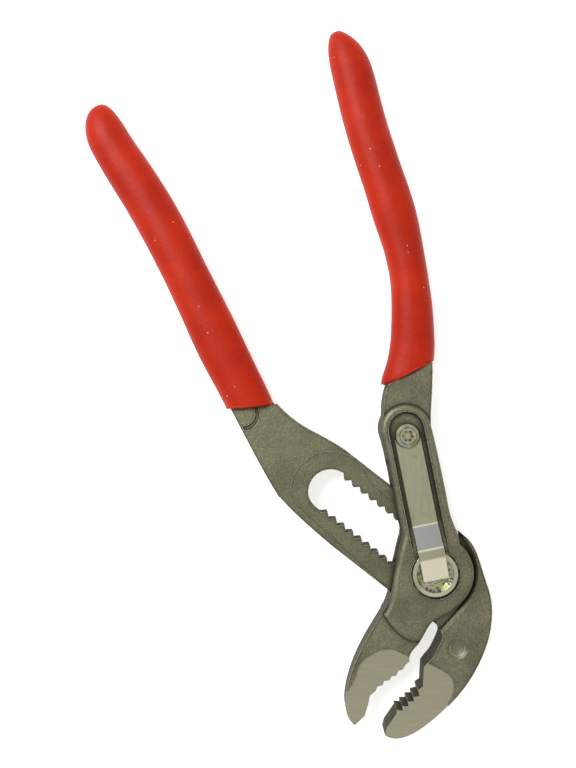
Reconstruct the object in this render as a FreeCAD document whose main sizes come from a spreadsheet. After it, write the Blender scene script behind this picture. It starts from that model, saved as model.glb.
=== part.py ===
"""Tongue and groove pliers, ten-inch class, with a box joint and a push-button pin.

Frame: the origin is on the pivot axis in the plane of the button's end face. +X runs right,
+Y runs up along the handles and +Z is the side with the leaf spring. Sizes are in mm.
Each piece is drawn about the joint's middle plane and lifted to its height by its placement.
"""
import FreeCAD
import Part
import math
import os

V = FreeCAD.Vector
doc = FreeCAD.newDocument("pliers")

# ---------------------------------------------------------------- sizes
SIZES = {
    "handle_scale": 1.0,        # length of both handles against the ten-inch pattern
    "tongue_t": 6.4,            # thickness of the tongue
    "tongue_gap": 0.1,          # clearance between the tongue and each cheek
    "front_cheek_t": 4.0,
    "rear_cheek_t": 3.0,
    "cheek_edge_radius": 14.4,  # round edge of both cheeks
    "neck_t": 10.6,             # outer half between the pocket and the grip
    "jaw_t": 10.4,
    "grind_depth": 0.5,         # how far the ground jaw faces lie below the forging
    "tang_t": 7.0,              # outer half inside its grip
    "front_round": 1.6,         # rounding along the front edge of the cheeks
    "rear_round": 0.9,
    "shoulder_bevel": 1.0,      # slope along the inner jaw's shoulder
    "jaw_back_bevel": 3.0,      # slope behind the outer jaw's outside curve
    "tongue_half_w": 15.6,
    "pitch": 4.0,               # slot teeth
    "tooth_depth": 1.9,
    "steps": 12,                # positions of the joint after the first
    "tooth_play": 0.1,
    "pin_big_radius": 8.35,
    "pin_shank_radius": 6.35,
    "button_radius": 5.0,
    "button_out": 2.6,          # how far the button stands out of the rear cheek
    "tooth_engaged": 2.4,       # length of the pin's teeth inside the tongue
    "collar_gap": 0.15,         # between the tongue and the pin's round collar
    "running_fit": 0.05,        # radial clearance of the turning pieces and in the tooth roots
    "bush_wall": 0.67,
    "pin_dish_radius": 6.9,
    "pin_dish_depth": 1.8,
    "pocket_w": 13.2,
    "pocket_wall": 1.2,         # metal left under the pocket over the window
    "leaf_w": 9.7,
    "leaf_t": 1.1,
    "leaf_tilt": 11.4,          # leaf's axis from +Y, in degrees
    "screw_at": 52.1,           # pivot to screw
    "screw_d": 5.0,
    "screw_head_d": 9.5,
    "screw_head_h": 2.6,
    "star_d": 4.5,
    "grip_t": 13.0,
    "dimple_d": 7.8,
    "dimple_depth": 1.0,
    "close_deg": 9.0,
    "open_deg": 3.5,
}
sheet = doc.addObject("Spreadsheet::Sheet", "sizes")
for row, (alias, value) in enumerate(SIZES.items(), start=1):
    sheet.set("A%d" % row, alias)
    sheet.set("B%d" % row, str(value))
    sheet.setAlias("B%d" % row, alias)
doc.recompute()
S = SIZES

# heights above the joint's middle plane
GAP_HALF = S["tongue_t"] / 2 + S["tongue_gap"]
FRONT = GAP_HALF + S["front_cheek_t"]
REAR = -(GAP_HALF + S["rear_cheek_t"])
BUSH_INSIDE = S["pin_big_radius"] + S["running_fit"]
BUSH_OUTSIDE = BUSH_INSIDE + S["bush_wall"]
TOOTH_ROOT = S["pin_big_radius"] + S["running_fit"]     # half the distance across the roots
TOOTH_TIP = TOOTH_ROOT - S["tooth_depth"]
POCKET_FLOOR = GAP_HALF + S["pocket_wall"]
MIDDLE = "sizes.tongue_t / 2 + sizes.tongue_gap + sizes.rear_cheek_t + sizes.button_out"

# directions: the slot runs down and right, the leaf runs up and slightly left
SLOT = math.radians(-37.9)
LEAF = math.radians(S["leaf_tilt"])


def slot_frame(u, v):
    """A point u along the slot towards the jaws and v across it."""
    return V(u * math.cos(SLOT) - v * math.sin(SLOT), u * math.sin(SLOT) + v * math.cos(SLOT), 0)


def leaf_frame(r, w):
    """A point r from the pivot towards the screw and w to the leaf's right."""
    return V(-r * math.sin(LEAF) + w * math.cos(LEAF), r * math.cos(LEAF) + w * math.sin(LEAF), 0)


def along(points, start):
    """Handle points, stretched away from their start by the handle scale."""
    k = S["handle_scale"]
    return [(start[0] + (x - start[0]) * k, start[1] + (y - start[1]) * k) for x, y in points]


# ---------------------------------------------------------------- helpers
def new_body(label):
    body = doc.addObject("PartDesign::Body", label)
    body.Label = label
    body.setExpression("Placement.Base.z", MIDDLE)
    return body


def lines(points, closed=True):
    pts = [p if isinstance(p, V) else V(p[0], p[1], 0) for p in points]
    ends = pts[1:] + pts[:1] if closed else pts[1:]
    return [Part.LineSegment(a, b) for a, b in zip(pts, ends)]


def smooth(points):
    curve = Part.BSplineCurve()
    curve.interpolate([p if isinstance(p, V) else V(p[0], p[1], 0) for p in points])
    return [curve]


def arc(centre, radius, a, b):
    """An arc from angle a to angle b in degrees, anticlockwise."""
    whole = Part.Circle(V(centre[0], centre[1], 0), V(0, 0, 1), radius)
    return [Part.ArcOfCircle(whole, math.radians(a), math.radians(b))]


def circle(centre, radius):
    return [Part.Circle(V(centre[0], centre[1], 0), V(0, 0, 1), radius)]


def sketch(body, name, geometry, height=None, role="XY_Plane", turn=None):
    sk = body.newObject("Sketcher::SketchObject", name)
    plane = [f for f in body.Origin.OriginFeatures if f.Role == role][0]
    sk.AttachmentSupport = [(plane, "")]
    sk.MapMode = "FlatFace"
    if turn:
        sk.AttachmentOffset = turn
    if height is not None:
        sk.setExpression("AttachmentOffset.Base.z", height)
    sk.addGeometry(geometry, False)
    doc.recompute()
    return sk


def feature(body, kind, name, profile, length, both=False, flip=False):
    f = body.newObject("PartDesign::" + kind, name)
    f.Profile = profile
    f.Midplane = both
    f.Reversed = flip
    f.setExpression("Length", length)
    profile.Visibility = False
    doc.recompute()
    return f


def pad(body, name, geometry, length, height=None):
    """Material from a height upwards, or evenly about the middle plane with no height."""
    sk = sketch(body, name + "_sketch", geometry, height)
    return feature(body, "Pad", name, sk, length, both=height is None)


def cut(body, name, geometry, length, height=None, down=False):
    """A pocket upwards from a height, downwards from it, or evenly about the middle plane."""
    sk = sketch(body, name + "_sketch", geometry, height)
    return feature(body, "Pocket", name, sk, length, both=height is None, flip=not down)


def spin_about_axis(body, kind, name, profile):
    """A full turn of a sketch about its own upright axis, adding or taking material."""
    spin = body.newObject("PartDesign::" + kind, name)
    spin.Profile = profile
    spin.ReferenceAxis = (profile, ["V_Axis"])
    spin.Angle = 360
    doc.recompute()
    return spin


def dress(body, kind, name, height, size, chosen=lambda edge: True):
    """Rounds or bevels the flat edges that lie at one height above the middle plane."""
    level = height + body.Placement.Base.z
    picked = []
    for k, edge in enumerate(body.Shape.Edges):
        box = edge.BoundBox
        if abs(box.ZMin - level) < 0.001 and abs(box.ZMax - level) < 0.001 and chosen(edge):
            picked.append("Edge%d" % (k + 1))
    before = body.Tip
    dressed = body.newObject("PartDesign::" + kind, name)
    dressed.Base = (before, picked)
    dressed.setExpression("Radius" if kind == "Fillet" else "Size", size)
    doc.recompute()
    return dressed


# ---------------------------------------------------------------- outer half
outer = new_body("outer_half")

radius = S["cheek_edge_radius"]
round_from = (radius * math.cos(math.radians(-60)), radius * math.sin(math.radians(-60)))
round_to = (radius * math.cos(math.radians(50)), radius * math.sin(math.radians(50)))
top_centre = leaf_frame(S["screw_at"] + 2.4, 0)
top_left = leaf_frame(S["screw_at"] + 2.4, -9.3)
top_right = leaf_frame(S["screw_at"] + 2.4, 9.3)
tilt_deg = S["leaf_tilt"]

cheeks = (
    smooth([(top_left.x, top_left.y), (-17.6, 43), (-15, 30), (-12.6, 19), (-11.7, 15),
            (-12.6, 10.6), (-14.1, 3.9), (-15, -0.4), (-16.1, -7.9), (-19, -15)])
    + smooth([(-19, -15), (-15, -20.6), (-11, -23.8), (-7.6, -25), (-5.2, -24.4)])
    + smooth([(-5.2, -24.4), (-3.1, -20.6), (-1.1, -17.8), (2.1, -15.8), round_from])
    + arc((0, 0), radius, -60, 50)
    + smooth([round_to, (7.6, 16.8), (6.3, 19.9), (4.2, 28.9), (2.2, 38.7), (0.2, 47.9),
              (top_right.x, top_right.y)])
    + arc((top_centre.x, top_centre.y), 9.3, tilt_deg, 180 + tilt_deg)
)
pad(outer, "cheeks", cheeks,
    "sizes.tongue_t + 2 * sizes.tongue_gap + sizes.front_cheek_t + sizes.rear_cheek_t",
    "-(sizes.tongue_t / 2 + sizes.tongue_gap + sizes.rear_cheek_t)")
dress(outer, "Fillet", "front_edge", FRONT, "sizes.front_round")
dress(outer, "Fillet", "rear_edge", REAR, "sizes.rear_round")

# jaw: the long outside curve, the blunt tip, the gripping side with its worn teeth, the throat
jaw_outside = [(-15.4, -7.9), (-17.7, -12), (-21, -17.3), (-25.9, -25.6), (-30.3, -35.2),
               (-32.5, -43), (-33.1, -48), (-32.2, -53.1), (-29.6, -56.5)]
jaw_grip = [(-29.6, -56.5), (-26, -53.1), (-24.5, -48.4), (-24, -45.5), (-21.7, -43.6),
            (-21.2, -42.1), (-19.3, -41.6), (-18.6, -40), (-16.7, -39.8), (-15.9, -38.3),
            (-14.1, -38), (-13.4, -36.2), (-11.8, -35.8), (-10.7, -34), (-9.2, -32.7)]
jaw_throat = [(-9.2, -32.7), (-8.7, -29.3), (-6.6, -26.8), (-5.2, -24.8)]
jaw_top = [(-5.2, -24.8), (-3.4, -20.8), (-2, -17.8)]
jaw = (
    smooth(jaw_outside)
    + lines(jaw_grip, False)
    + smooth(jaw_throat)
    + lines(jaw_top, False)
    + lines([(-2, -17.8), (-9, -7.9), (-15.4, -7.9)], False)
)
pad(outer, "jaw", jaw, "sizes.jaw_t")
dress(outer, "Chamfer", "jaw_back", -S["jaw_t"] / 2, "sizes.jaw_back_bevel",
      lambda edge: edge.BoundBox.XMin < -33 and edge.BoundBox.YMax > -20)

# neck and tang; the tang ends inside the grip
tang_right = along([(-4.5, 79), (-3.4, 90), (-4.5, 104), (-7, 118), (-10.6, 132), (-15, 146),
                    (-19.5, 160), (-24, 174), (-28.5, 188)], (-10, 70))
tang_left = along([(-33.4, 188), (-31.6, 174), (-27.6, 160), (-23.2, 146), (-18.8, 132),
                   (-14.8, 118), (-12.8, 104), (-12.6, 90), (-13.8, 79)], (-10, 70))
neck = (
    smooth([(-16.6, 43), (-18.6, 54), (-18.7, 63), (-17.2, 70)])
    + lines([(-17.2, 70), (-0.8, 78.4)], False)
    + smooth([(-0.8, 78.4), (-0.8, 73), (-1.1, 65.5), (-1.5, 58), (-0.8, 49.5)])
    + lines([(-0.8, 49.5), (-16.6, 43)], False)
)
pad(outer, "neck", neck, "sizes.neck_t")
tang = (
    lines([(-14, 64), (-4.6, 64), tang_right[0]], False)
    + smooth(tang_right)
    + lines([tang_right[-1], tang_left[0]], False)
    + smooth(tang_left)
    + lines([tang_left[-1], (-14, 64)], False)
)
pad(outer, "tang", tang, "sizes.tang_t")

# window for the tongue: each wall is a wedge between its closed and its open position
wall_at = S["tongue_half_w"] + 0.12
lean_close = SLOT + math.pi / 2 - math.radians(S["close_deg"] + 0.4)
lean_open = SLOT + math.pi / 2 + math.radians(S["open_deg"] + 0.4)
middle_lean = (lean_close + lean_open) / 2
apex = wall_at / math.cos((lean_open - lean_close) / 2)
far = 60


def wall_points(side):
    """The wedge's far left, its apex and its far right on one side of the pivot."""
    a = V(apex * math.cos(middle_lean), apex * math.sin(middle_lean), 0) * side
    left_lean = lean_close if side > 0 else lean_open
    right_lean = lean_open if side > 0 else lean_close
    left = V(-math.sin(left_lean), math.cos(left_lean), 0) * far
    right = V(math.sin(right_lean), -math.cos(right_lean), 0) * far
    return [a + left, a, a + right]


upper = wall_points(1)
lower = wall_points(-1)
window = lines([upper[0], upper[1], upper[2], lower[2], lower[1], lower[0]])
cut(outer, "window", window, "sizes.tongue_t + 2 * sizes.tongue_gap")

# bores: the bush's seat in front, the shank's seat and the button's hole behind
cut(outer, "bush_seat", circle((0, 0), BUSH_OUTSIDE + S["running_fit"]), "30", "0")
cut(outer, "shank_seat", circle((0, 0), S["pin_shank_radius"] + S["running_fit"]),
    "sizes.tongue_t / 2 + sizes.tongue_gap + 1.8", "0", down=True)
cut(outer, "button_hole", circle((0, 0), S["button_radius"] + S["running_fit"]), "30", "0",
    down=True)

# pocket for the leaf: flat floor, ramp up towards the bore, round top end
ramp_low = 18.4
ramp_high = 9.3
ramp_top = FRONT - 0.42
profile = lines([(4, 30), (4, ramp_top), (ramp_high, ramp_top), (ramp_low, POCKET_FLOOR),
                 (S["screw_at"] + 2.4, POCKET_FLOOR), (S["screw_at"] + 2.4, 30)])
turned = FreeCAD.Placement(V(0, 0, 0), FreeCAD.Rotation(V(0, 1, 0), S["leaf_tilt"]))
pocket_sketch = sketch(outer, "pocket_sketch", profile, role="YZ_Plane", turn=turned)
feature(outer, "Pocket", "pocket", pocket_sketch, "sizes.pocket_w", both=True)
cut(outer, "pocket_end", circle((top_centre.x, top_centre.y), S["pocket_w"] / 2), "30",
    "sizes.tongue_t / 2 + sizes.tongue_gap + sizes.pocket_wall")
screw_centre = leaf_frame(S["screw_at"], 0)
cut(outer, "screw_hole", circle((screw_centre.x, screw_centre.y), S["screw_d"] / 2 + 0.02), "7",
    "sizes.tongue_t / 2 + sizes.tongue_gap + sizes.pocket_wall + 1", down=True)

# ground faces on both sides of the jaw
outer_ground = [(-5, -31.2), (-9.6, -31.2), (-13.4, -29.2), (-17.4, -28.2), (-23, -30),
                (-27.4, -33.6), (-29.4, -38.8), (-31.3, -42.4), (-36, -47), (-36, -60), (-5, -60)]
for name, height, down in (("grind_front", "sizes.jaw_t / 2 - sizes.grind_depth", False),
                           ("grind_rear", "-(sizes.jaw_t / 2 - sizes.grind_depth)", True)):
    cut(outer, name, smooth(outer_ground[1:8])
        + lines(outer_ground[7:] + outer_ground[:2], False), "5", height, down)

# ---------------------------------------------------------------- inner half
inner = new_body("inner_half")

# tongue with its square shoulders hidden in the window
w = S["tongue_half_w"]
tongue = (
    lines([(11.2, 13.2), slot_frame(-1.2, w), slot_frame(-50, w)], False)
    + smooth([slot_frame(-50, w), (-36.5, 47.7), (-43.2, 51.4), (-50, 55.3), (-55.2, 59.4),
              (-58.6, 62.8)])
    + lines([(-58.6, 62.8), (-64, 61), (-64, 46), (-59.2, 33), (-57.4, 27.9)], False)
    + smooth([(-57.4, 27.9), (-55.6, 25.9), (-48.9, 19.3), slot_frame(-36, -w)])
    + lines([slot_frame(-36, -w), slot_frame(-6, -w), slot_frame(9, -14.6), (4.5, -22.6),
             (10, -20)], False)
    + smooth([(10, -20), (15, -12), (17.4, -4), (16.4, 4), (11.2, 13.2)])
)
pad(inner, "tongue", tongue, "sizes.tongue_t")

inner_shoulder = [(10.3, 14.4), (11.5, 11.3), (13.6, 7.2), (15.2, 0), (14.3, -5.5),
                  (12.2, -9.6), (7.8, -15.4), (2.3, -21.3)]
inner_throat = [(2.3, -21.3), (2.8, -23.9), (1.8, -26.4), (0.3, -29.6), (-2.6, -33.3)]
inner_grip = [(-2.6, -33.3), (-3.9, -34.9), (-4.3, -42.2), (-6.1, -43.5), (-5.6, -45.5),
              (-7.9, -46.1), (-7.6, -47.6), (-9.9, -47.7), (-9.7, -49.4), (-12, -49.4),
              (-11.8, -51), (-14, -50.8), (-14, -52.1), (-17.7, -57.4), (-18.4, -60.2)]
inner_outside = [(-18.4, -60.2), (-15.2, -61.4), (-8.9, -60), (-3.4, -56.6), (3.4, -50.8),
                 (8.5, -45.5), (13.4, -38.9), (17.3, -31.6), (20.1, -23.8), (21.2, -16.5),
                 (20.8, -8.9), (18.5, -1.4), (16.5, 5.1), (13.6, 11.3), (10.3, 14.4)]
inner_jaw = (
    smooth(inner_shoulder)
    + smooth(inner_throat)
    + lines(inner_grip, False)
    + smooth(inner_outside)
)
pad(inner, "jaw", inner_jaw, "sizes.jaw_t")

dress(inner, "Chamfer", "shoulder_slope", S["jaw_t"] / 2, "sizes.shoulder_bevel",
      lambda edge: edge.BoundBox.YMax > 14 and edge.BoundBox.XMin > 2 and edge.BoundBox.XMax < 17)

# handle beyond the slot and the tang inside the grip, both as thick as the tongue
handle = (
    smooth([(-60.4, 62.7), (-59, 56), (-56.2, 48), (-55, 40), (-55.4, 33), (-57.6, 27.7)])
    + smooth([(-57.6, 27.7), (-62.1, 35.2), (-66.9, 43.9), (-71.4, 52.4), (-76, 61.3)])
    + lines([(-76, 61.3), (-60.4, 62.7)], False)
)
pad(inner, "handle", handle, "sizes.tongue_t")
inner_tang_right = along([(-65.6, 68), (-71.6, 80), (-76.8, 92), (-82.4, 104), (-88, 116),
                          (-94, 127), (-100.6, 138), (-107.4, 148.6), (-114, 158)], (-68, 62))
inner_tang_left = along([(-119, 155), (-113.4, 145), (-107.6, 134), (-101.8, 123), (-96.2, 111.8),
                         (-90.6, 100), (-85.2, 88), (-79.8, 76), (-75.4, 68)], (-68, 62))
inner_tang = (
    lines([(-72, 57), (-62, 57), inner_tang_right[0]], False)
    + smooth(inner_tang_right)
    + lines([inner_tang_right[-1], inner_tang_left[0]], False)
    + smooth(inner_tang_left)
    + lines([inner_tang_left[-1], (-72, 57)], False)
)
pad(inner, "tang", inner_tang, "sizes.tongue_t")


def flank(side, first, last):
    """Tooth tips and roots along one side of the slot, from first to last step back."""
    points = []
    for k in range(first, last):
        tip_at = 1 - S["pitch"] * k if side > 0 else -1 - S["pitch"] * k
        root_at = tip_at - S["pitch"] / 2
        points += [slot_frame(tip_at, side * TOOTH_TIP),
                   slot_frame(root_at, side * TOOTH_ROOT)]
    return points


# toothed slot: round at both ends, with a row of teeth on each side
end_r = S["pin_big_radius"] + S["tooth_play"]
travel = S["steps"] * S["pitch"]
upper_row = [slot_frame(-1, TOOTH_ROOT)] + flank(1, 1, S["steps"] + 1)
lower_row = flank(-1, 0, S["steps"])
back = travel + 0.6
lean = math.degrees(SLOT)
front_a = math.degrees(math.atan2(-math.sqrt(end_r ** 2 - 1), 1))
front_b = math.degrees(math.atan2(math.sqrt(end_r ** 2 - 1), -1))
slot_end = slot_frame(-back, 0)
jaw_end_low = slot_frame(1, -math.sqrt(end_r ** 2 - 1))
jaw_end_high = slot_frame(-1, math.sqrt(end_r ** 2 - 1))
back_high = slot_frame(-back, end_r)
back_low = slot_frame(-back, -end_r)
slot = (
    arc((0, 0), end_r, front_a + lean, front_b + lean)
    + lines([jaw_end_high] + upper_row[1:-1] + [back_high], False)
    + arc((slot_end.x, slot_end.y), end_r, 90 + lean, 270 + lean)
    + lines([back_low] + lower_row[::-1] + [jaw_end_low], False)
)
cut(inner, "slot", slot, "40")

# shallow milled face round the slot, dimple, groove by the grip, ground faces
milled = (
    arc((slot_end.x, slot_end.y), 15, 52 + lean, 232 + lean)
    + lines([slot_frame(15 * math.cos(math.radians(232)) - back, 15 * math.sin(math.radians(232))),
             slot_frame(2, -w - 1), slot_frame(11, -w - 1), slot_frame(11, 11.6),
             slot_frame(15 * math.cos(math.radians(52)) - back, 15 * math.sin(math.radians(52)))],
            False)
)
cut(inner, "milled_front", milled, "sizes.jaw_t", "sizes.tongue_t / 2 - 0.25", down=False)
dish_r = S["dimple_d"] / 2
dish_top = S["jaw_t"] / 2
dish_low = dish_top - S["dimple_depth"]
dish = (
    smooth([(0, dish_low), (dish_r * 0.6, dish_low + S["dimple_depth"] * 0.35), (dish_r, dish_top)])
    + lines([(dish_r, dish_top), (dish_r, dish_top + 2), (0, dish_top + 2), (0, dish_low)], False)
)
at_dimple = FreeCAD.Placement(V(8.4, 0, 28), FreeCAD.Rotation())
spin_about_axis(inner, "Groove", "dimple", sketch(inner, "dimple_sketch", dish, role="XZ_Plane",
                                                  turn=at_dimple))
groove = (
    smooth([(-67.2, 70), (-66, 62), (-65, 58.6), (-66.2, 55.2), (-70.6, 53)])
    + lines([(-70.6, 53), (-71.4, 54.3)], False)
    + smooth([(-71.4, 54.3), (-67.4, 56.3), (-66.5, 58.8), (-67.4, 62), (-68.6, 70)])
    + lines([(-68.6, 70), (-67.2, 70)], False)
)
cut(inner, "groove", groove, "5", "sizes.tongue_t / 2 - 0.7")
inner_ground = [(-2.6, -33.3), (2.6, -36), (6.5, -39.4), (7.1, -43.6), (5, -48.4)]
for name, height, down in (("grind_front", "sizes.jaw_t / 2 - sizes.grind_depth", False),
                           ("grind_rear", "-(sizes.jaw_t / 2 - sizes.grind_depth)", True)):
    cut(inner, name, smooth(inner_ground)
        + lines([(5, -48.4), (7, -66), (-24, -66), (-24, -32), (-2.6, -33.3)], False),
        "5", height, down)

# ---------------------------------------------------------------- grips
def grip(label, half, stations, rim):
    """A closed sleeve lofted through ellipses and cut back by the half that it coats."""
    rings = []
    for k, (x, y, half_w, half_t, heading) in enumerate(stations):
        ring = doc.addObject("Part::Ellipse", "%s_ring_%d" % (label, k))
        (x, y), = along([(x, y)], stations[-1][:2])
        ring.setExpression("MajorRadius", "%g" % half_w)
        ring.setExpression("MinorRadius", "sizes.grip_t / 2 * %g" % half_t)
        across = V(math.sin(math.radians(heading)), -math.cos(math.radians(heading)), 0)
        down_handle = V(math.cos(math.radians(heading)), math.sin(math.radians(heading)), 0)
        turn = FreeCAD.Rotation(across, V(0, 0, 1), down_handle, "XYZ")
        ring.Placement = FreeCAD.Placement(V(x, y, 0), turn)
        ring.setExpression("Placement.Base.z", MIDDLE)
        rings.append(ring)
    loft = doc.addObject("Part::Loft", label + "_loft")
    loft.Sections = rings
    loft.Solid = True
    loft.Ruled = False
    rim_cut = doc.addObject("Part::Box", label + "_rim")
    rim_cut.Length = 60
    rim_cut.Width = 30
    rim_cut.Height = 40
    at, heading = rim
    rim_cut.Placement = FreeCAD.Placement(V(at[0], at[1], -10), FreeCAD.Rotation(V(0, 0, 1), heading))
    trimmed = doc.addObject("Part::Cut", label + "_trimmed")
    trimmed.Base = loft
    trimmed.Tool = rim_cut
    sleeve = doc.addObject("Part::Cut", label)
    sleeve.Base = trimmed
    sleeve.Tool = half
    sleeve.Label = label
    return sleeve


inner_grip_body = grip("inner_grip", inner, [
    (-126.3, 174.6, 2.2, 0.3, 118), (-125.8, 171.4, 5.6, 0.72, 119), (-123.8, 166, 7.5, 0.92, 121),
    (-119.6, 158.1, 8.2, 1.0, 123), (-111.1, 145, 8.6, 1.0, 122.5), (-103.1, 131.6, 8.7, 1.0, 119.5),
    (-94.8, 115.6, 8.6, 1.0, 116.4), (-87, 99.4, 8.9, 1.0, 115.6), (-79.2, 83.2, 9.1, 1.0, 116.4),
    (-71, 67.1, 8.7, 1.0, 114.7), (-66.2, 56.7, 8.3, 1.0, 114.7)],
    ((-97, 29.5), 5))
outer_grip_body = grip("outer_grip", outer, [
    (-36.6, 202.4, 2.2, 0.3, 112), (-34.8, 198.8, 5.0, 0.72, 112), (-32.6, 194.1, 6.9, 0.92, 111),
    (-29.9, 186.1, 7.9, 1.0, 108.5), (-25.9, 170.6, 8.1, 1.0, 105.6), (-21.7, 156.9, 8.15, 1.0, 106.7),
    (-17.0, 142.6, 8.3, 1.0, 108), (-13.4, 131, 8.3, 1.0, 106.8), (-10.5, 119.6, 7.5, 1.0, 102.6),
    (-8.6, 108.6, 7.4, 1.0, 97), (-7.7, 98, 7.9, 1.0, 91), (-7.5, 86, 8.5, 1.0, 86),
    (-8.9, 76, 9.0, 1.0, 84.5), (-10, 66, 9.0, 1.0, 84)],
    ((-30, 30.4), 27))

# ---------------------------------------------------------------- pivot pin
pin = new_body("pivot_pin")
play = S["tooth_play"]
big = S["pin_big_radius"]


def pin_side(side):
    """Grooves that fit over the slot's teeth, left to right, inside the pin's round edge."""
    groove_v = TOOTH_TIP - play
    crest_v = TOOTH_ROOT - play
    edge_u = [5.0, 3.0, 1.0, -1.0, -3.0, -4.9]
    edge_v = [groove_v, crest_v, groove_v, crest_v, groove_v, None]
    points = []
    for u, v in zip(edge_u, edge_v):
        limit = math.sqrt(big ** 2 - u ** 2)
        v = limit if v is None else min(v, limit)
        points.append((side * u, side * v))
    return points


start_u = pin_side(1)[0][0] + 0.2
start_v = math.sqrt(big ** 2 - start_u ** 2)
toothed = []
for side in (1, -1):
    row = pin_side(side)
    first = (side * start_u, side * start_v)
    toothed += lines([slot_frame(*p) for p in [first] + row], False)
    end_angle = math.degrees(math.atan2(row[-1][1], row[-1][0]))
    next_angle = math.degrees(math.atan2(-side * start_v, -side * start_u))
    toothed += arc((0, 0), big, end_angle + lean, next_angle + lean + (360 if side > 0 else 0))
head_low = "sizes.tongue_t / 2 - sizes.tooth_engaged"
pad(pin, "toothed_head", toothed, "sizes.tooth_engaged + sizes.collar_gap + 0.5", head_low)
pad(pin, "collar", circle((0, 0), big),
    "sizes.front_cheek_t + sizes.tongue_gap - 0.5 - sizes.collar_gap",
    "sizes.tongue_t / 2 + sizes.collar_gap")
pad(pin, "shank", circle((0, 0), S["pin_shank_radius"]),
    "sizes.tongue_t - sizes.tooth_engaged + sizes.tongue_gap + 1.78",
    "-(sizes.tongue_t / 2 + sizes.tongue_gap + 1.78)")
pad(pin, "button", circle((0, 0), S["button_radius"]),
    "sizes.rear_cheek_t - 1.78 + sizes.button_out",
    "-(sizes.tongue_t / 2 + sizes.tongue_gap + sizes.rear_cheek_t + sizes.button_out)")
cut(pin, "dish", circle((0, 0), S["pin_dish_radius"]), "5",
    "sizes.tongue_t / 2 + sizes.tongue_gap + sizes.front_cheek_t - 0.5 - sizes.pin_dish_depth")
dress(pin, "Chamfer", "button_edge", REAR - S["button_out"], "0.5")

# ---------------------------------------------------------------- pivot bush
bush = new_body("pivot_bush")
bush_low = "sizes.tongue_t / 2 + sizes.tongue_gap + 0.05"
pad(bush, "ring", circle((0, 0), BUSH_OUTSIDE) + circle((0, 0), BUSH_INSIDE),
    "sizes.front_cheek_t - 1.05", bush_low)

# ---------------------------------------------------------------- leaf spring
leaf = new_body("leaf_spring")
t = S["leaf_t"]
rim_z = FRONT - 0.5
rim_at = math.sqrt(S["pin_dish_radius"] ** 2 - (S["leaf_w"] / 2) ** 2)
lay = POCKET_FLOOR + 0.02
top_z = FRONT - 0.2
end_slope = math.tan(math.radians(10))
under = [(-1.9, rim_z + 0.02 - end_slope * (rim_at + 1.9)),
         (rim_at + (top_z - rim_z - 0.02) / end_slope, top_z), (9.3, top_z), (18.4, lay),
         (S["screw_at"] + S["leaf_w"] / 2 + 0.5, lay)]
over = [(r, z + t * k) for (r, z), k in zip(under, (1.0, 1.0, 1.04, 1.04, 1.0))]
strip = lines(under + over[::-1])
leaf_sketch = sketch(leaf, "strip_sketch", strip, role="YZ_Plane", turn=turned)
feature(leaf, "Pad", "strip", leaf_sketch, "sizes.leaf_w", both=True)
half_w = S["leaf_w"] / 2
at_end = S["screw_at"]
end_waste = (
    arc((screw_centre.x, screw_centre.y), half_w - 0.15, tilt_deg, 180 + tilt_deg)
    + lines([leaf_frame(at_end, 0.15 - half_w), leaf_frame(at_end, -9), leaf_frame(at_end + 9, -9),
             leaf_frame(at_end + 9, 9), leaf_frame(at_end, 9), leaf_frame(at_end, half_w - 0.15)],
            False)
)
cut(leaf, "round_end", end_waste, "40", "-10")
cut(leaf, "screw_hole", circle((screw_centre.x, screw_centre.y), S["screw_d"] / 2 + 0.15), "40",
    "-10")

# ---------------------------------------------------------------- spring screw
screw = new_body("spring_screw")
head_z = lay + t + 0.02
head_r = S["screw_head_d"] / 2
half_head = [(0, -5.2), (2.2, -5.2), (S["screw_d"] / 2, -4.9), (S["screw_d"] / 2, 0)]
dome = [(head_r, 0), (head_r, 0.5), (head_r * 0.9, 1.35), (head_r * 0.68, 2.2), (3.0, S["screw_head_h"])]
turn_lines = (
    lines(half_head + [(head_r, 0), (head_r, 0.5)], False)
    + smooth(dome[1:])
    + lines([(3.0, S["screw_head_h"]), (0, S["screw_head_h"]), (0, -5.2)], False)
)
at_screw = FreeCAD.Placement(V(screw_centre.x, head_z, -screw_centre.y), FreeCAD.Rotation())
screw_sketch = sketch(screw, "profile_sketch", turn_lines, role="XZ_Plane", turn=at_screw)
spin_about_axis(screw, "Revolution", "turned", screw_sketch)
star_r = S["star_d"] / 2
star = []
for k in range(12):
    r = star_r if k % 2 == 0 else star_r * 0.74
    a = math.radians(30 * k)
    star.append((screw_centre.x + r * math.cos(a), screw_centre.y + r * math.sin(a)))
outline = Part.BSplineCurve()
outline.interpolate(Points=[V(x, y, 0) for x, y in star], PeriodicFlag=True)
cut(screw, "star_socket", [outline], "%g" % (S["screw_head_h"] + 5),
    "sizes.tongue_t / 2 + sizes.tongue_gap + sizes.pocket_wall + sizes.leaf_t + 1.1")

# ---------------------------------------------------------------- checks and export
doc.recompute()
parts = [outer, outer_grip_body, inner, inner_grip_body, pin, bush, leaf, screw]
for obj in doc.Objects:
    if "Invalid" in obj.State or "Error" in obj.State:
        raise RuntimeError("%s is %s" % (obj.Label, obj.State))
os.makedirs("parts", exist_ok=True)
for part in parts:
    shape = part.Shape
    if shape.isNull() or not shape.isValid():
        raise RuntimeError("%s has no valid shape" % part.Label)
    if len(shape.Solids) != 1:
        raise RuntimeError("%s has %d solids" % (part.Label, len(shape.Solids)))
    shape.exportStep("parts/%s.step" % part.Label)
    b = shape.BoundBox
    print("%-13s volume %8.1f  x %.1f..%.1f  y %.1f..%.1f  z %.2f..%.2f" % (
        part.Label, shape.Volume, b.XMin, b.XMax, b.YMin, b.YMax, b.ZMin, b.ZMax))
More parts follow.
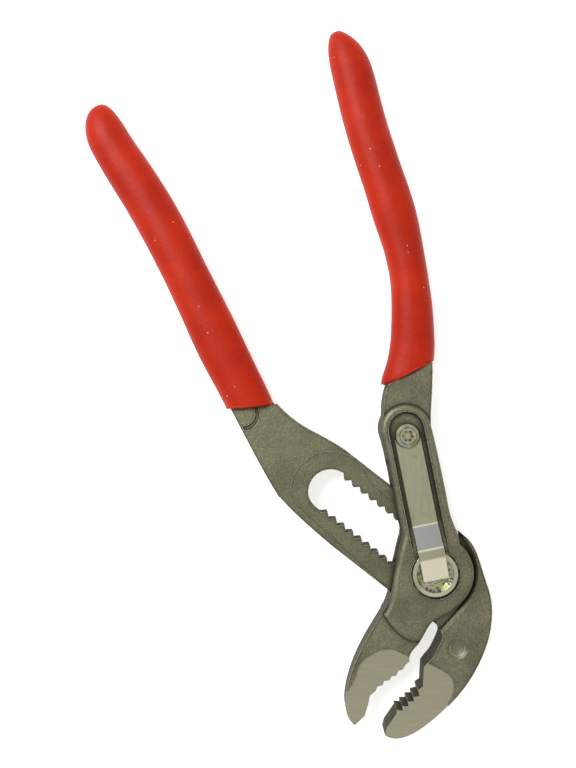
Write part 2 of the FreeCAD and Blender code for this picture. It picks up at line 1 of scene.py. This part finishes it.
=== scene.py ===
# %% [markdown]
# Tongue and groove pliers: two forged halves, a toothed pin that a leaf spring keeps in mesh with
# the slot, and two dip-coated grips. The shapes that carry load come from the CAD frame, and this
# lesson gives them rounded forged edges, finishes, a bent spring, skins of PVC, and light.

# %% Load the frame
import math
import bpy
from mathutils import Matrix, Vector


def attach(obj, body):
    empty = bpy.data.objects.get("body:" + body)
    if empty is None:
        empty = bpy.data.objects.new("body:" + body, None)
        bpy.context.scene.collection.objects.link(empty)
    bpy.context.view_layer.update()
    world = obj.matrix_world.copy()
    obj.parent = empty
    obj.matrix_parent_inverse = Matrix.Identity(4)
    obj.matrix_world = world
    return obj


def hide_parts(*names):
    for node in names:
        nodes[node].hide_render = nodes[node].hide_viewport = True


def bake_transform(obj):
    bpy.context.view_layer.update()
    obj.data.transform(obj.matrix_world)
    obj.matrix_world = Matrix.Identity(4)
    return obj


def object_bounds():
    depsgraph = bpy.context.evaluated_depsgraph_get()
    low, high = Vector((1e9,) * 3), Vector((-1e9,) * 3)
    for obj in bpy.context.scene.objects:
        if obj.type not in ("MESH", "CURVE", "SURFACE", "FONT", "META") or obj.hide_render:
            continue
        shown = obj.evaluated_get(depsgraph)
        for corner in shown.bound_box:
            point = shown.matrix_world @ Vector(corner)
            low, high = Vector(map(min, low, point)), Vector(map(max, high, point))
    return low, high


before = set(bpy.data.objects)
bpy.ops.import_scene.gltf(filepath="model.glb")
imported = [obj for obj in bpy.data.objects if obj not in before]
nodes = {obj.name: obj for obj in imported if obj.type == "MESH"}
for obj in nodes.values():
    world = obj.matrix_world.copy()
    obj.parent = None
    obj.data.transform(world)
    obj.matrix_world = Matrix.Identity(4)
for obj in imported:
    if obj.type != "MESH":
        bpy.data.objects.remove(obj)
cad_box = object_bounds()
MM = 0.001
box_mm = [[round(c / MM, 1) for c in corner] for corner in cad_box]
print("nodes:", sorted(nodes), "box in mm:", box_mm)

# %% [markdown]
# The CAD heights are measured from the button's end face. The halves are symmetric about one
# middle plane, and the leaf and its pocket lean a little to the left of +Y.

# %% Heights and directions
MIDDLE_Z = 8.9
FRONT_Z = 16.2
TONGUE_Z = 12.1
LEAF_TILT = math.radians(11.4)
SCREW_AT = 52.1
GROUND_OFF = 4.7        # ground jaw faces, from the middle plane
GROUND_BELOW_Y = -27.0  # they all lie below this


def leaf_frame(r, w=0.0, z=0.0):
    """A point r mm from the pivot towards the screw and w mm to the leaf's right, in metres."""
    x = -r * math.sin(LEAF_TILT) + w * math.cos(LEAF_TILT)
    y = r * math.cos(LEAF_TILT) + w * math.sin(LEAF_TILT)
    return Vector((x, y, z)) * MM


print("front cheek at", FRONT_Z, "mm; leaf leans", round(math.degrees(LEAF_TILT), 1), "degrees")

# %% [markdown]
# Colours are written as sRGB hex, the way a paint card gives them, and one function turns them to
# the linear values that the renderer works in. Every shader node below is made by one function,
# which also wires its inputs, so that a material reads from top to bottom like a recipe.

# %% Colours and nodes


def hex_rgb(code):
    """Linear RGBA from an sRGB hex colour."""
    parts = [int(code[i:i + 2], 16) / 255 for i in (1, 3, 5)]
    linear = [c / 12.92 if c <= 0.04045 else ((c + 0.055) / 1.055) ** 2.4 for c in parts]
    return (*linear, 1.0)


def add(tree, kind, inputs=None, pick=0, stops=None, **settings):
    """Adds a shader node, sets it up, wires or sets its inputs, and returns the picked output."""
    made = tree.nodes.new("ShaderNode" + kind)
    for key, value in settings.items():
        setattr(made, key, value)
    for key, value in (inputs or {}).items():
        if isinstance(value, bpy.types.NodeSocket):
            tree.links.new(value, made.inputs[key])
        else:
            made.inputs[key].default_value = hex_rgb(value) if isinstance(value, str) else value
    if stops:
        marks = made.color_ramp.elements
        made.color_ramp.interpolation = "EASE"
        while len(marks) < len(stops):
            marks.new(0.5)
        for mark, (at, colour) in zip(marks, stops):
            mark.position = at
            mark.color = hex_rgb(colour) if isinstance(colour, str) else (colour,) * 3 + (1,)
    return made.outputs[pick] if made.outputs else None


def new_tree(name):
    """An empty material with that name, and its node tree."""
    made = bpy.data.materials.new(name)
    made.use_nodes = True
    made.node_tree.nodes.clear()
    return made, made.node_tree


def millimetres(tree, stretch=(1, 1, 1), turn=0.0):
    """Object coordinates in millimetres, stretched or turned about Z for brushed patterns."""
    where = add(tree, "TexCoord", pick="Object")
    return add(tree, "Mapping", {"Vector": where, "Rotation": (0, 0, turn),
                                 "Scale": tuple(1000 * s for s in stretch)})


print("helpers ready; mid grey is", [round(c, 3) for c in hex_rgb("#808080")])

# %% [markdown]
# Forged chrome-vanadium steel is shot-blasted, phosphated and oiled: an olive-grey, finely pitted
# skin. Corners that rub in use wear to bright metal, drawn together with a painted highlight on
# the edges; the hollows, the side walls and the slopes beside outside corners get painted shade.
# The jaw faces are ground afterwards, so they are pale, smooth and finely scratched.

# %% Forged steel


def forged_steel(name):
    made, tree = new_tree(name)
    where = millimetres(tree)
    # skin: 12 mm patches from the heat treatment, 0.8 mm pits from shot-blasting, bright specks
    patches = add(tree, "TexNoise", {"Vector": where, "Scale": 0.08, "Detail": 3.0})
    skin = add(tree, "ValToRGB", {"Fac": patches}, stops=[(0.35, "#7D7A63"), (0.65, "#938F76")])
    pits = add(tree, "TexNoise", {"Vector": where, "Scale": 1.3, "Detail": 4.0, "Roughness": 0.7})
    pitted = add(tree, "ValToRGB", {"Fac": pits}, stops=[(0.42, 0.4), (0.62, 0.0)])
    skin = add(tree, "Mix", {0: pitted, 6: skin, 7: "#4A4838"}, 2, data_type="RGBA")
    specks = add(tree, "TexNoise", {"Vector": where, "Scale": 2.1, "Detail": 2.0})
    specks = add(tree, "ValToRGB", {"Fac": specks}, stops=[(0.62, 0.0), (0.74, 0.4)])
    skin = add(tree, "Mix", {0: specks, 6: skin, 7: "#C4C1AA"}, 2, data_type="RGBA")
    # the tongue and its handle are rubbed to a darker skin than the forging round them
    place = add(tree, "SeparateXYZ", {"Vector": where}, "Z")
    off = add(tree, "Math", {0: place, 1: MIDDLE_Z}, operation="SUBTRACT")
    off = add(tree, "Math", {0: off}, operation="ABSOLUTE")
    thin = add(tree, "Math", {0: off, 1: TONGUE_Z - MIDDLE_Z + 0.1}, operation="LESS_THAN")
    rubbed = add(tree, "Math", {0: thin, 1: 0.35}, operation="MULTIPLY")
    skin = add(tree, "Mix", {0: rubbed, 6: skin, 7: "#6A6851"}, 2, data_type="RGBA")
    # hollows: painted shade, darker where the occlusion node finds surfaces within 2.4 mm
    hollow = add(tree, "AmbientOcclusion", {"Distance": 2.4 * MM}, "AO", samples=6)
    painted_hollow_shade = add(tree, "ValToRGB", {"Fac": hollow}, stops=[(0.35, 0.95), (0.7, 0.4),
                                                          (0.97, 0.0)])
    skin = add(tree, "Mix", {0: painted_hollow_shade, 6: skin, 7: "#1E1C14"}, 2, data_type="RGBA")
    # side walls: painted shade, faces that stand steep drawn nearly black
    normal = add(tree, "NewGeometry", pick="Normal")
    upward = add(tree, "SeparateXYZ", {"Vector": normal}, "Z")
    upward = add(tree, "Math", {0: upward}, operation="ABSOLUTE")
    wall = add(tree, "ValToRGB", {"Fac": upward}, stops=[(0.2, 0.75), (0.85, 0.0)])
    skin = add(tree, "Mix", {0: wall, 6: skin, 7: "#26241A"}, 2, data_type="RGBA")
    # flanks: painted shade on the 2 mm next to every outside corner, where the rounded normal
    # leans away from the real one
    eased = add(tree, "Bevel", {"Radius": 2.0 * MM}, samples=6)
    cosine = add(tree, "VectorMath", {0: normal, 1: eased}, "Value", operation="DOT_PRODUCT")
    painted_edge_shade = add(tree, "ValToRGB", {"Fac": cosine}, stops=[(0.86, 0.75), (0.995, 0.0)])
    skin = add(tree, "Mix", {0: painted_edge_shade, 6: skin, 7: "#2C2A1F"}, 2, data_type="RGBA")
    # worn corners with painted highlight: pale where a rounded normal leans from the real one,
    # broken up by 1 mm patches and kept out of hollows
    eased = add(tree, "Bevel", {"Radius": 0.6 * MM}, samples=4)
    cosine = add(tree, "VectorMath", {0: normal, 1: eased}, "Value", operation="DOT_PRODUCT")
    lean = add(tree, "Math", {0: 1.0, 1: cosine}, operation="SUBTRACT")
    corner = add(tree, "MapRange", {"Value": lean, "From Min": 0.03, "From Max": 0.2})
    broken = add(tree, "TexNoise", {"Vector": where, "Scale": 0.8, "Detail": 3.0})
    broken = add(tree, "ValToRGB", {"Fac": broken}, stops=[(0.3, 0.25), (0.6, 1.0)])
    open_air = add(tree, "ValToRGB", {"Fac": hollow}, stops=[(0.8, 0.0), (0.95, 1.0)])
    wear_and_painted_highlight = add(tree, "Math", {0: corner, 1: broken}, operation="MULTIPLY")
    wear_and_painted_highlight = add(tree, "Math", {0: wear_and_painted_highlight, 1: open_air}, operation="MULTIPLY")
    skin = add(tree, "Mix", {0: wear_and_painted_highlight, 6: skin, 7: "#D0CCB6"}, 2, data_type="RGBA")
    # ground jaw faces, found by their height below the forging, with 0.3 mm grinding lines
    level = add(tree, "Math", {0: off, 1: GROUND_OFF, 2: 0.06}, operation="COMPARE")
    along = add(tree, "SeparateXYZ", {"Vector": where}, "Y")
    jaw = add(tree, "Math", {0: along, 1: GROUND_BELOW_Y}, operation="LESS_THAN")
    ground = add(tree, "Math", {0: level, 1: jaw}, operation="MULTIPLY")
    lines = millimetres(tree, (0.1, 2.5, 1), 0.6)
    lines = add(tree, "TexNoise", {"Vector": lines, "Scale": 1.1, "Detail": 3.0})
    bright = add(tree, "ValToRGB", {"Fac": lines}, stops=[(0.3, "#A8A48D"), (0.7, "#B1AD97")])
    colour = add(tree, "Mix", {0: ground, 6: skin, 7: bright}, 2, data_type="RGBA")
    rough = add(tree, "Math", {0: pits, 1: 0.3, 2: 0.34}, operation="MULTIPLY_ADD")
    smoother = add(tree, "Math", {0: ground, 1: -0.12, 2: rough}, operation="MULTIPLY_ADD")
    dull = add(tree, "Math", {0: wall, 1: 0.5, 2: smoother}, operation="MULTIPLY_ADD")
    metal = add(tree, "Math", {0: wall, 1: -0.95, 2: 0.8}, operation="MULTIPLY_ADD")
    unground = add(tree, "Math", {0: ground, 1: -0.85, 2: 1.0}, operation="MULTIPLY_ADD")
    relief = add(tree, "Math", {0: pits, 1: unground}, operation="MULTIPLY")
    bump = add(tree, "Bump", {"Height": relief, "Strength": 0.6, "Distance": 0.2 * MM})
    shader = add(tree, "BsdfPrincipled", {"Base Color": colour, "Metallic": metal,
                                          "Roughness": dull, "Normal": bump})
    add(tree, "OutputMaterial", {"Surface": shader})
    return made


steel = forged_steel("phosphated forged steel with ground jaw faces")
print("made", steel.name)

# %% [markdown]
# The grips are plasticised PVC. The hot handles are dipped, so the skin is thick, a little lumpy
# and satin, with specks of lint stuck to it and faint rub marks. Light gets a short way into it,
# which keeps the red warm in the shade.

# %% Dipped PVC


def dipped_pvc(name):
    made, tree = new_tree(name)
    where = millimetres(tree)
    cloudy = add(tree, "TexNoise", {"Vector": where, "Scale": 0.06, "Detail": 3.0})
    red = add(tree, "ValToRGB", {"Fac": cloudy}, stops=[(0.3, "#A81D04"), (0.7, "#BA2706")])
    # rub marks: long 3 mm wide smears, a shade paler
    smears = add(tree, "TexNoise", {"Vector": where, "Scale": 0.3, "Detail": 5.0,
                                    "Roughness": 0.7})
    smears = add(tree, "ValToRGB", {"Fac": smears}, stops=[(0.55, 0.0), (0.72, 0.3)])
    red = add(tree, "Mix", {0: smears, 6: red, 7: "#BE3A1C"}, 2, data_type="RGBA")
    # lint, drawn as specks of half a millimetre so that they show
    cells = add(tree, "TexVoronoi", {"Vector": where, "Scale": 0.3}, "Distance")
    near = add(tree, "ValToRGB", {"Fac": cells}, stops=[(0.05, 1.0), (0.1, 0.0)])
    colours = add(tree, "TexVoronoi", {"Vector": where, "Scale": 0.3}, "Color")
    chance = add(tree, "SeparateColor", {"Color": colours})
    chosen = add(tree, "ValToRGB", {"Fac": chance}, stops=[(0.74, 0.0), (0.8, 0.75)])
    lint = add(tree, "Math", {0: near, 1: chosen}, operation="MULTIPLY")
    red = add(tree, "Mix", {0: lint, 6: red, 7: "#EFC2B0"}, 2, data_type="RGBA")
    sweat = add(tree, "TexNoise", {"Vector": where, "Scale": 0.5, "Detail": 4.0})
    rough = add(tree, "Math", {0: sweat, 1: 0.25, 2: 0.36}, operation="MULTIPLY_ADD")
    fine = add(tree, "TexNoise", {"Vector": where, "Scale": 0.8, "Detail": 4.0})
    height = add(tree, "Math", {0: lint, 1: 0.5, 2: fine}, operation="MULTIPLY_ADD")
    bump = add(tree, "Bump", {"Height": height, "Strength": 0.35, "Distance": 0.25 * MM})
    shader = add(tree, "BsdfPrincipled", {
        "Base Color": red, "Roughness": rough, "Normal": bump, "IOR": 1.53,
        "Specular IOR Level": 0.18,
        "Subsurface Weight": 0.06, "Subsurface Radius": (2.0, 0.5, 0.3),
        "Subsurface Scale": 1.0 * MM})
    add(tree, "OutputMaterial", {"Surface": shader})
    return made


pvc = dipped_pvc("dipped red PVC")
print("made", pvc.name)

# %% [markdown]
# The small pieces: a rolled spring-steel strip with painted shade and a painted highlight on its
# bends, a turned pin with a greasy dish, an oily bush, and a zinc-plated screw whose yellow
# passivation shows as a thin rainbow, with painted shade in its hollows.

# %% Spring, pin, bush and screw metals


def strip_steel(name):
    """Strip with a faint rolled grain along its length; painted shade on the ramp, painted
    highlight at the dish end.
    """
    made, tree = new_tree(name)
    rolled = millimetres(tree, (1.0, 0.05, 1.0), -LEAF_TILT)
    drawn = add(tree, "TexNoise", {"Vector": rolled, "Scale": 1.6, "Detail": 4.0})
    where = millimetres(tree)
    colour = add(tree, "ValToRGB", {"Fac": drawn}, stops=[(0.3, "#B8B599"), (0.7, "#C0BDA1")])
    stains = add(tree, "TexNoise", {"Vector": where, "Scale": 0.3, "Detail": 4.0})
    stains = add(tree, "ValToRGB", {"Fac": stains}, stops=[(0.55, 0.0), (0.75, 0.35)])
    colour = add(tree, "Mix", {0: stains, 6: colour, 7: "#98957C"}, 2, data_type="RGBA")
    normal = add(tree, "NewGeometry", pick="Normal")
    tipped = add(tree, "SeparateXYZ", {"Vector": normal}, "Z")
    # painted shade: faces of the ramp, tipped about 13 to 22 degrees, drawn darker and greyer
    ramp_painted_shade = add(tree, "ValToRGB", {"Fac": tipped}, stops=[(0.93, 0.0), (0.95, 0.9), (0.97, 0.9),
                                                          (0.976, 0.0)])
    colour = add(tree, "Mix", {0: ramp_painted_shade, 6: colour, 7: "#9FA0A2"}, 2, data_type="RGBA")
    # painted highlight: faces tipped about 6 to 12 degrees, where the end dips into the pin's
    # dish, drawn near white
    dish_end_painted_highlight = add(tree, "ValToRGB", {"Fac": tipped}, stops=[(0.976, 0.0), (0.98, 0.9),
                                                             (0.99, 0.9), (0.995, 0.0)])
    colour = add(tree, "Mix", {0: dish_end_painted_highlight, 6: colour, 7: "#F2EED8"}, 2, data_type="RGBA")
    rough = add(tree, "Math", {0: drawn, 1: 0.12, 2: 0.3}, operation="MULTIPLY_ADD")
    bump = add(tree, "Bump", {"Height": drawn, "Strength": 0.15, "Distance": 0.04 * MM})
    shader = add(tree, "BsdfPrincipled", {"Base Color": colour, "Metallic": 0.9,
                                          "Roughness": rough, "Normal": bump})
    add(tree, "OutputMaterial", {"Surface": shader})
    return made


def turned_steel(name, base, pale, oily_below):
    """Lathe-turned steel with rings about the pivot; greasy below a height in mm."""
    made, tree = new_tree(name)
    where = millimetres(tree)
    rings = add(tree, "TexWave", {"Vector": where, "Scale": 0.9, "Distortion": 0.6,
                                  "Detail": 2.0}, "Fac", wave_type="RINGS", rings_direction="Z")
    colour = add(tree, "Mix", {0: rings, 6: base, 7: pale}, 2, data_type="RGBA")
    film = add(tree, "TexNoise", {"Vector": where, "Scale": 0.25, "Detail": 2.0})
    film = add(tree, "ValToRGB", {"Fac": film}, stops=[(0.48, 0.0), (0.62, 0.6)])
    colour = add(tree, "Mix", {0: film, 6: colour, 7: "#B9C484"}, 2, data_type="RGBA")
    smear = add(tree, "TexNoise", {"Vector": where, "Scale": 0.9, "Detail": 5.0,
                                   "Roughness": 0.75})
    place = add(tree, "SeparateXYZ", {"Vector": where}, "Z")
    low = add(tree, "Math", {0: place, 1: oily_below}, operation="LESS_THAN")
    patch = add(tree, "ValToRGB", {"Fac": smear}, stops=[(0.48, 0.05), (0.56, 0.85)])
    oily = add(tree, "Math", {0: low, 1: patch}, operation="MULTIPLY")
    colour = add(tree, "Mix", {0: oily, 6: colour, 7: "#4C4836"}, 2, data_type="RGBA")
    rough = add(tree, "Math", {0: smear, 1: 0.3, 2: 0.12}, operation="MULTIPLY_ADD")
    height = add(tree, "Math", {0: rings, 1: smear}, operation="ADD")
    bump = add(tree, "Bump", {"Height": height, "Strength": 0.35, "Distance": 0.08 * MM})
    shader = add(tree, "BsdfPrincipled", {"Base Color": colour, "Metallic": 0.9,
                                          "Roughness": rough, "Normal": bump})
    add(tree, "OutputMaterial", {"Surface": shader})
    return made


def passivated_zinc(name):
    made, tree = new_tree(name)
    where = millimetres(tree)
    film = add(tree, "TexNoise", {"Vector": where, "Scale": 0.3, "Detail": 2.0})
    colour = add(tree, "ValToRGB", {"Fac": film}, stops=[
        (0.3, "#A9B8A6"), (0.42, "#C9C79A"), (0.52, "#DAD5B8"), (0.62, "#BAC8C0"),
        (0.72, "#C9BC92")])
    # painted shade: hollows darkened by the occlusion node
    hollow = add(tree, "AmbientOcclusion", {"Distance": 1.4 * MM}, "AO", samples=6)
    painted_hollow_shade = add(tree, "ValToRGB", {"Fac": hollow}, stops=[(0.35, 0.85), (0.85, 0.0)])
    colour = add(tree, "Mix", {0: painted_hollow_shade, 6: colour, 7: "#2A271B"}, 2, data_type="RGBA")
    grain = add(tree, "TexNoise", {"Vector": where, "Scale": 2.2, "Detail": 3.0})
    rough = add(tree, "Math", {0: grain, 1: 0.2, 2: 0.14}, operation="MULTIPLY_ADD")
    bump = add(tree, "Bump", {"Height": grain, "Strength": 0.15, "Distance": 0.04 * MM})
    shader = add(tree, "BsdfPrincipled", {"Base Color": colour, "Metallic": 1.0,
                                          "Roughness": rough, "Normal": bump})
    add(tree, "OutputMaterial", {"Surface": shader})
    return made


strip = strip_steel("tempered strip steel")
pin_metal = turned_steel("turned hardened steel", "#C4C2AC", "#E2DFCB", 14.8)
bush_metal = turned_steel("oily hardened steel", "#3A382C", "#57543F", 40.0)
zinc = passivated_zinc("yellow-passivated zinc on steel")
print("made", strip.name, "|", pin_metal.name, "|", bush_metal.name, "|", zinc.name)

# %% [markdown]
# A CAD solid has perfectly sharp edges, which no forging has. Merging the flat faces' triangles
# and then bevelling by angle rounds every sharp corner a little, so that it catches light.

# %% Round the metal pieces


def rounded(name, material, width_mm, segments=2, angle=28):
    """Shows a CAD node with rounded corners and a finish."""
    piece = nodes[name]
    for holder in piece.material_slots:
        holder.material = material
    weld = piece.modifiers.new("weld", "WELD")
    weld.merge_threshold = 0.002 * MM
    flat = piece.modifiers.new("flat faces", "DECIMATE")
    flat.decimate_type = "DISSOLVE"
    flat.angle_limit = math.radians(0.6)
    soft = piece.modifiers.new("rounded corners", "BEVEL")
    soft.width = width_mm * MM
    soft.segments = segments
    soft.limit_method = "ANGLE"
    soft.angle_limit = math.radians(angle)
    shade = piece.modifiers.new("shading", "WEIGHTED_NORMAL")
    shade.keep_sharp = True
    return piece


rounded("outer_half", steel, 0.4, 3)
rounded("inner_half", steel, 0.45, 3)
rounded("pivot_pin", pin_metal, 0.25)
rounded("pivot_bush", bush_metal, 0.08)
rounded("spring_screw", zinc, 0.12)
print("rounded", [n for n in nodes if nodes[n].modifiers])

# %% [markdown]
# The dipped skin has no sharp rim: it thins out and rolls over where the handle left the bath.
# Rebuilding each sleeve from small cubes and smoothing it gives that roll, and then a slow noise
# presses it in by a few tenths of a millimetre, as the soft skin sagged while it set.

# %% Dipped skins


def dipped_skin(name, lump_mm):
    """Softens a sleeve and presses slow lumps into it, never outwards."""
    piece = nodes[name]
    for holder in piece.material_slots:
        holder.material = pvc
    cubes = piece.modifiers.new("skin", "REMESH")
    cubes.mode = "VOXEL"
    cubes.voxel_size = 0.45 * MM
    cubes.use_smooth_shade = True
    relaxed = piece.modifiers.new("rolled rim", "SMOOTH")
    relaxed.factor = 0.5
    relaxed.iterations = 2
    clouds = bpy.data.textures.new(name + " lumps", "CLOUDS")
    clouds.noise_scale = 16 * MM
    clouds.noise_depth = 1
    lumps = piece.modifiers.new("lumps", "DISPLACE")
    lumps.texture = clouds
    lumps.texture_coords = "LOCAL"
    lumps.strength = lump_mm * MM
    lumps.mid_level = 1.0
    return piece


dipped_skin("outer_grip", 0.35)
dipped_skin("inner_grip", 0.35)
print("skins with lumps:", [n for n in nodes if "grip" in n])

# %% [markdown]
# Where the skin stopped climbing the handle it drew up into a soft bead. Each bead is a thin tube
# along the ellipse in which the sleeve meets its rim, so it closes the joint to the steel.

# %% Rolled rims


def rolled_rim(name, body, centre, heading_deg, half_length, half_thick=6.5, bead=0.62):
    """A bead round the end of a sleeve; the centre is in mm and the heading is the rim's line."""
    turn = math.radians(heading_deg)
    line = Vector((math.cos(turn), math.sin(turn), 0))
    up = Vector((0, 0, 1))
    middle = Vector((centre[0], centre[1], MIDDLE_Z))
    around, across = 72, 10
    verts, faces = [], []
    for k in range(around):
        a = 2 * math.pi * k / around
        out = line * math.cos(a) * half_thick + up * math.sin(a) * half_length
        out.normalize()
        path = (middle + line * math.cos(a) * (half_length - 0.5)
                + up * math.sin(a) * (half_thick - 0.5))
        side = line.cross(up)
        for j in range(across):
            b = 2 * math.pi * j / across
            verts.append((path + out * math.cos(b) * bead + side * math.sin(b) * bead) * MM)
            faces.append((k * across + j, k * across + (j + 1) % across,
                          (k + 1) % around * across + (j + 1) % across,
                          (k + 1) % around * across + j))
    mesh = bpy.data.meshes.new(name)
    mesh.from_pydata(verts, [], faces)
    mesh.polygons.foreach_set("use_smooth", [True] * len(faces))
    mesh.materials.append(pvc)
    rim = bpy.data.objects.new(name, mesh)
    bpy.context.collection.objects.link(rim)
    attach(rim, body)
    return rim


rims = [rolled_rim("outer_grip_rim", "outer", (-9.0, 74.8), 27, 10.6),
        rolled_rim("inner_grip_rim", "inner", (-68.7, 62.1), 5, 9.1)]
print("beads:", [rim.name for rim in rims])

# %% [markdown]
# The leaf is one strip 9.7 mm wide and 1.1 mm thick. The screw holds its round end down, and its
# free end climbs the ramp, crosses the bush's rim and dips into the pin's dish. It is the
# only piece that bends, so it has its own mesh with enough cross-sections.

# %% Leaf spring
LEAF_W = 9.7
LEAF_T = 1.1
LEAF_UNDER = [(-1.9, 14.52), (6.5, 16.0), (9.3, 16.0), (18.4, 13.42), (SCREW_AT + 4.7, 13.42)]
BEND = 0.9          # how far from a corner its rounding starts
EDGE = 0.14         # bevel along the strip's edges


def bent_line(corners, step):
    """Points along a line whose corners are rounded, no further apart than a step."""
    line = [Vector(corners[0])]
    for before, corner, after in zip(corners, corners[1:], corners[2:]):
        before, corner, after = Vector(before), Vector(corner), Vector(after)
        start = corner + (before - corner).normalized() * BEND
        end = corner + (after - corner).normalized() * BEND
        line += [start.lerp(corner, k / 5).lerp(corner.lerp(end, k / 5), k / 5) for k in range(6)]
    line.append(Vector(corners[-1]))
    fine = [line[0]]
    for a, b in zip(line, line[1:]):
        count = max(1, math.ceil((b - a).length / step))
        fine += [a.lerp(b, k / count) for k in range(1, count + 1)]
    return fine


def leaf_mesh():
    centre = bent_line(LEAF_UNDER, 1.0)
    tail = [p for p in centre if p.x < SCREW_AT]
    round_r = LEAF_W / 2 - 0.15
    tail += [Vector((SCREW_AT + round_r * math.sin(a * math.pi / 20), LEAF_UNDER[-1][1]))
             for a in range(10)]
    verts, faces = [], []
    for k, p in enumerate(tail):
        ahead, behind = tail[min(k + 1, len(tail) - 1)], tail[max(k - 1, 0)]
        heading = (ahead - behind).normalized()
        up = Vector((-heading.y, heading.x))
        half = LEAF_W / 2
        if p.x > SCREW_AT:
            half = math.sqrt(max(round_r ** 2 - (p.x - SCREW_AT) ** 2, 0.01)) + 0.15
        outline = [(-half, EDGE), (-half, LEAF_T - EDGE), (EDGE - half, LEAF_T),
                   (half - EDGE, LEAF_T), (half, LEAF_T - EDGE), (half, EDGE),
                   (half - EDGE, 0), (EDGE - half, 0)]
        for w, t in outline:
            at = p + up * t
            verts.append(leaf_frame(at.x, w, at.y))
    for k in range(len(tail) - 1):
        for j in range(8):
            a, b = k * 8 + j, k * 8 + (j + 1) % 8
            faces.append((a, b, b + 8, a + 8))
    faces += [tuple(range(7, -1, -1)), tuple(len(verts) - 8 + j for j in range(8))]
    mesh = bpy.data.meshes.new("leaf")
    mesh.from_pydata(verts, [], faces)
    mesh.materials.append(strip)
    return mesh, len(tail)


leaf_shape, sections = leaf_mesh()
leaf = bpy.data.objects.new("leaf", leaf_shape)
bpy.context.collection.objects.link(leaf)
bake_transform(leaf)
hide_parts("leaf_spring")
print("leaf with", sections, "cross-sections")

# %% [markdown]
# The stage is a plain pale floor under soft light, with the camera straight above, as one looks
# down at a tool on a bench.

# %% Floor, light and camera


def plain_floor():
    made, tree = new_tree("matt white board")
    fibres = add(tree, "TexNoise", {"Vector": millimetres(tree), "Scale": 0.5, "Detail": 3.0})
    white = add(tree, "ValToRGB", {"Fac": fibres}, stops=[(0.3, "#F8F8F6"), (0.7, "#FDFDFB")])
    shader = add(tree, "BsdfPrincipled", {"Base Color": white, "Roughness": 0.9,
                                          "Emission Color": "#FFFFFF",
                                          "Emission Strength": 0.6})
    add(tree, "OutputMaterial", {"Surface": shader})
    mesh = bpy.data.meshes.new("floor")
    size = 1.5
    corners = [(-size, -size, 0), (size, -size, 0), (size, size, 0), (-size, size, 0)]
    mesh.from_pydata(corners, [], [(0, 1, 2, 3)])
    board = bpy.data.objects.new("floor", mesh)
    board.location.z = -0.0005
    mesh.materials.append(made)
    bpy.context.collection.objects.link(board)


def soft_light(name, at, size, power, tint="#FFFFFF"):
    """A disk lamp aimed at the middle of the tool."""
    lamp = bpy.data.lights.new(name, "AREA")
    lamp.shape = "DISK"
    lamp.size = size
    lamp.energy = power
    lamp.color = hex_rgb(tint)[:3]
    made = bpy.data.objects.new(name, lamp)
    made.location = at
    target = Vector((-0.04, 0.06, 0))
    made.rotation_euler = (target - made.location).to_track_quat("-Z", "Y").to_euler()
    bpy.context.collection.objects.link(made)


plain_floor()
soft_light("window", (-0.5, 0.45, 0.8), 0.5, 8.0)
soft_light("lamp", (0.15, -0.6, 0.85), 0.5, 0.3, "#FFF6EA")
world = bpy.data.worlds.new("soft room")
world.use_nodes = True
world.node_tree.nodes["Background"].inputs["Color"].default_value = hex_rgb("#E6E6E2")
world.node_tree.nodes["Background"].inputs["Strength"].default_value = 0.62
bpy.context.scene.world = world
bpy.context.scene.view_settings.view_transform = "Standard"

CAMERA_X = -54.35
CAMERA_Y = 70.16
CAMERA_ABOVE = 300.0    # above the front cheek
VIEW_HEIGHT = 282.4
SENSOR = 36.0
lens = bpy.data.cameras.new("camera")
lens.sensor_width = SENSOR
lens.lens = SENSOR * CAMERA_ABOVE / VIEW_HEIGHT
camera = bpy.data.objects.new("camera", lens)
camera.location = (CAMERA_X * MM, CAMERA_Y * MM, (FRONT_Z + CAMERA_ABOVE) * MM)
bpy.context.collection.objects.link(camera)
bpy.context.scene.camera = camera
print("lens", round(lens.lens, 2), "mm; camera", [round(c, 4) for c in camera.location])
